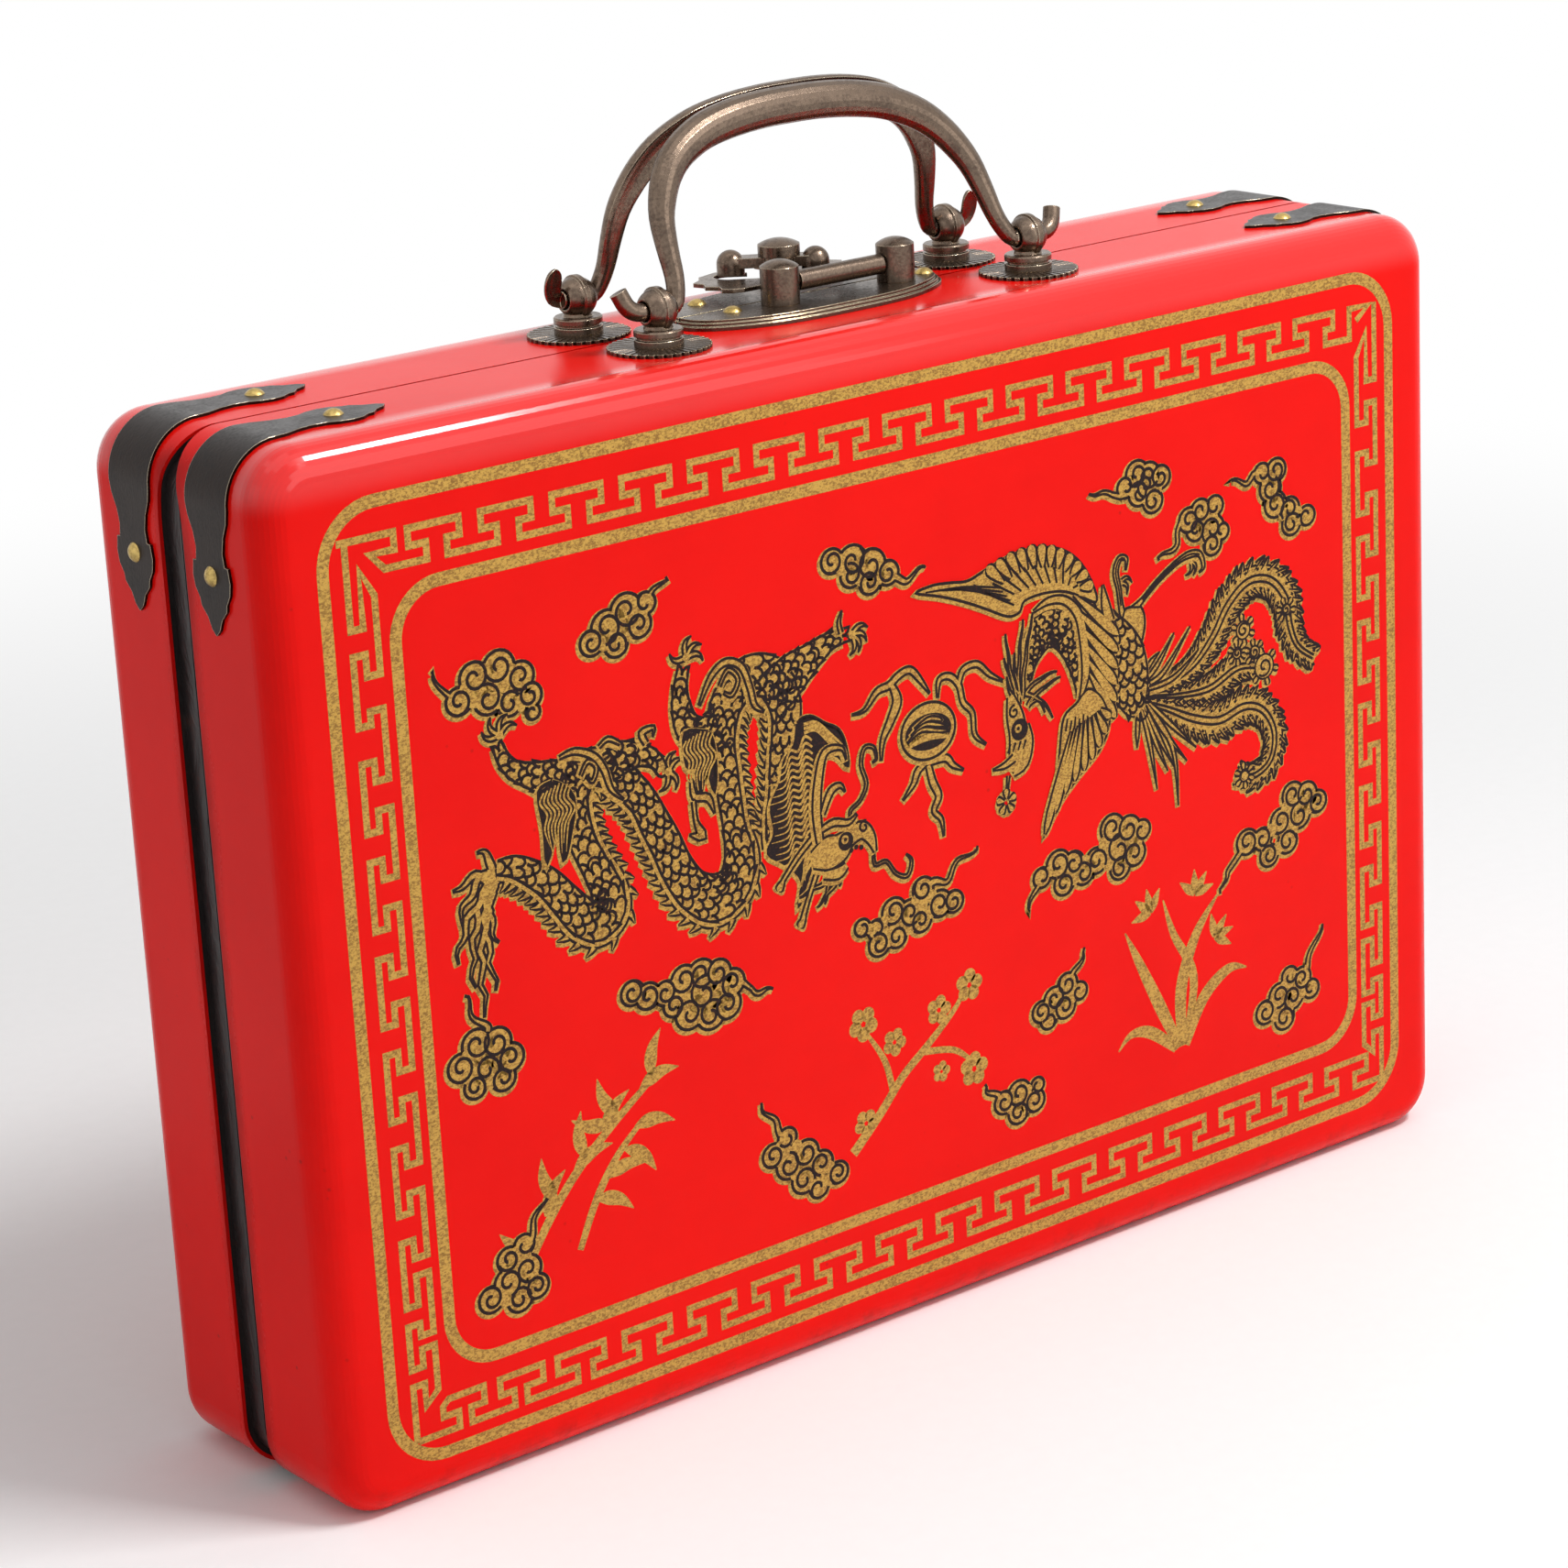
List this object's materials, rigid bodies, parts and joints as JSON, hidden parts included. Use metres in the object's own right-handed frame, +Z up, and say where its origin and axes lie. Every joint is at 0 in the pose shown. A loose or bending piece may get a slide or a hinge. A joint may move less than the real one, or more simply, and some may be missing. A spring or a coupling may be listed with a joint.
{
  "type": "lacquered tile game carrying case",
  "caption": "Flat lacquered carrying case for a tile game: two hinged half shells with divided bays, paired handles that lean together, corner straps, and a hasp with a turning catch.",
  "frame": {"origin": "middle of the bottom of the closed case, on the parting plane between its halves", "axes": "+X to the right along the case's length seen from the front, +Y from the front half to the rear half, +Z up"},
  "size_m": [0.3238, 0.066, 0.273],
  "materials": {
    "lacquer": "glossy red lacquer over paper leather, print on both broad faces",
    "timber": "light timber, black lacquer where it shows in the groove",
    "lining_cloth": "thin black cloth",
    "dark_bronze": "dark bronzed sheet, worn bright at the edges",
    "bronze": "antique bronze, rubbed bright on the high places",
    "brass": "worn brass"
  },
  "bodies": {
    "rear_half": {"rear_cover": "lacquer", "rear_panel": "timber", "rear_top_rail": "timber", "rear_bottom_rail": "timber", "rear_side_rails": "timber", "rear_lining": "lining_cloth", "rear_dividers": "lining_cloth", "rear_left_strap": "dark_bronze", "rear_right_strap": "dark_bronze", "rear_strap_nails": "brass", "rear_left_lug": "bronze", "rear_right_lug": "bronze", "rear_left_washer": "dark_bronze", "rear_right_washer": "dark_bronze", "rear_latch_plate": "dark_bronze", "rear_latch_nails": "brass", "rear_hinge_leaves": "brass", "rear_hinge_screws": "brass", "latch_stud": "bronze", "hinge_pins": "brass"},
    "front_half": {"front_cover": "lacquer", "front_panel": "timber", "front_top_rail": "timber", "front_bottom_rail": "timber", "front_side_rails": "timber", "front_lining": "lining_cloth", "front_dividers": "lining_cloth", "front_left_strap": "dark_bronze", "front_right_strap": "dark_bronze", "front_strap_nails": "brass", "front_left_lug": "bronze", "front_right_lug": "bronze", "front_left_washer": "dark_bronze", "front_right_washer": "dark_bronze", "front_latch_plate": "dark_bronze", "front_latch_nails": "brass", "front_hinge_leaves": "brass", "front_hinge_screws": "brass", "latch_posts": "bronze", "hasp_pin": "bronze"},
    "front_handle": {"front_handle": "bronze"},
    "rear_handle": {"rear_handle": "bronze"},
    "hasp": {"hasp": "bronze"},
    "turn_catch": {"turn_bar": "bronze", "turn_knob": "brass"}
  },
  "joints": [
    {"name": "lid_hinge", "type": "hinge", "parent": "rear_half", "child": "front_half", "pos_m": [0, 0, 0.0017], "axis": [1, 0, 0], "range_deg": [0, 135]},
    {"name": "front_handle_pivot", "type": "hinge", "parent": "front_half", "child": "front_handle", "pos_m": [0.002, -0.0132, 0.2332], "axis": [1, 0, 0], "range_deg": [0, 122]},
    {"name": "rear_handle_pivot", "type": "hinge", "parent": "rear_half", "child": "rear_handle", "pos_m": [-0.0006, 0.0115, 0.2332], "axis": [-1, 0, 0], "range_deg": [0, 122]},
    {"name": "hasp_swing", "type": "hinge", "parent": "front_half", "child": "hasp", "pos_m": [0, -0.005, 0.2314], "axis": [1, 0, 0], "range_deg": [0, 180]},
    {"name": "catch_turn", "type": "hinge", "parent": "rear_half", "child": "turn_catch", "pos_m": [0, 0.0078, 0.232], "axis": [0, 0, 1], "range_deg": [-8, 64]}
  ]
}
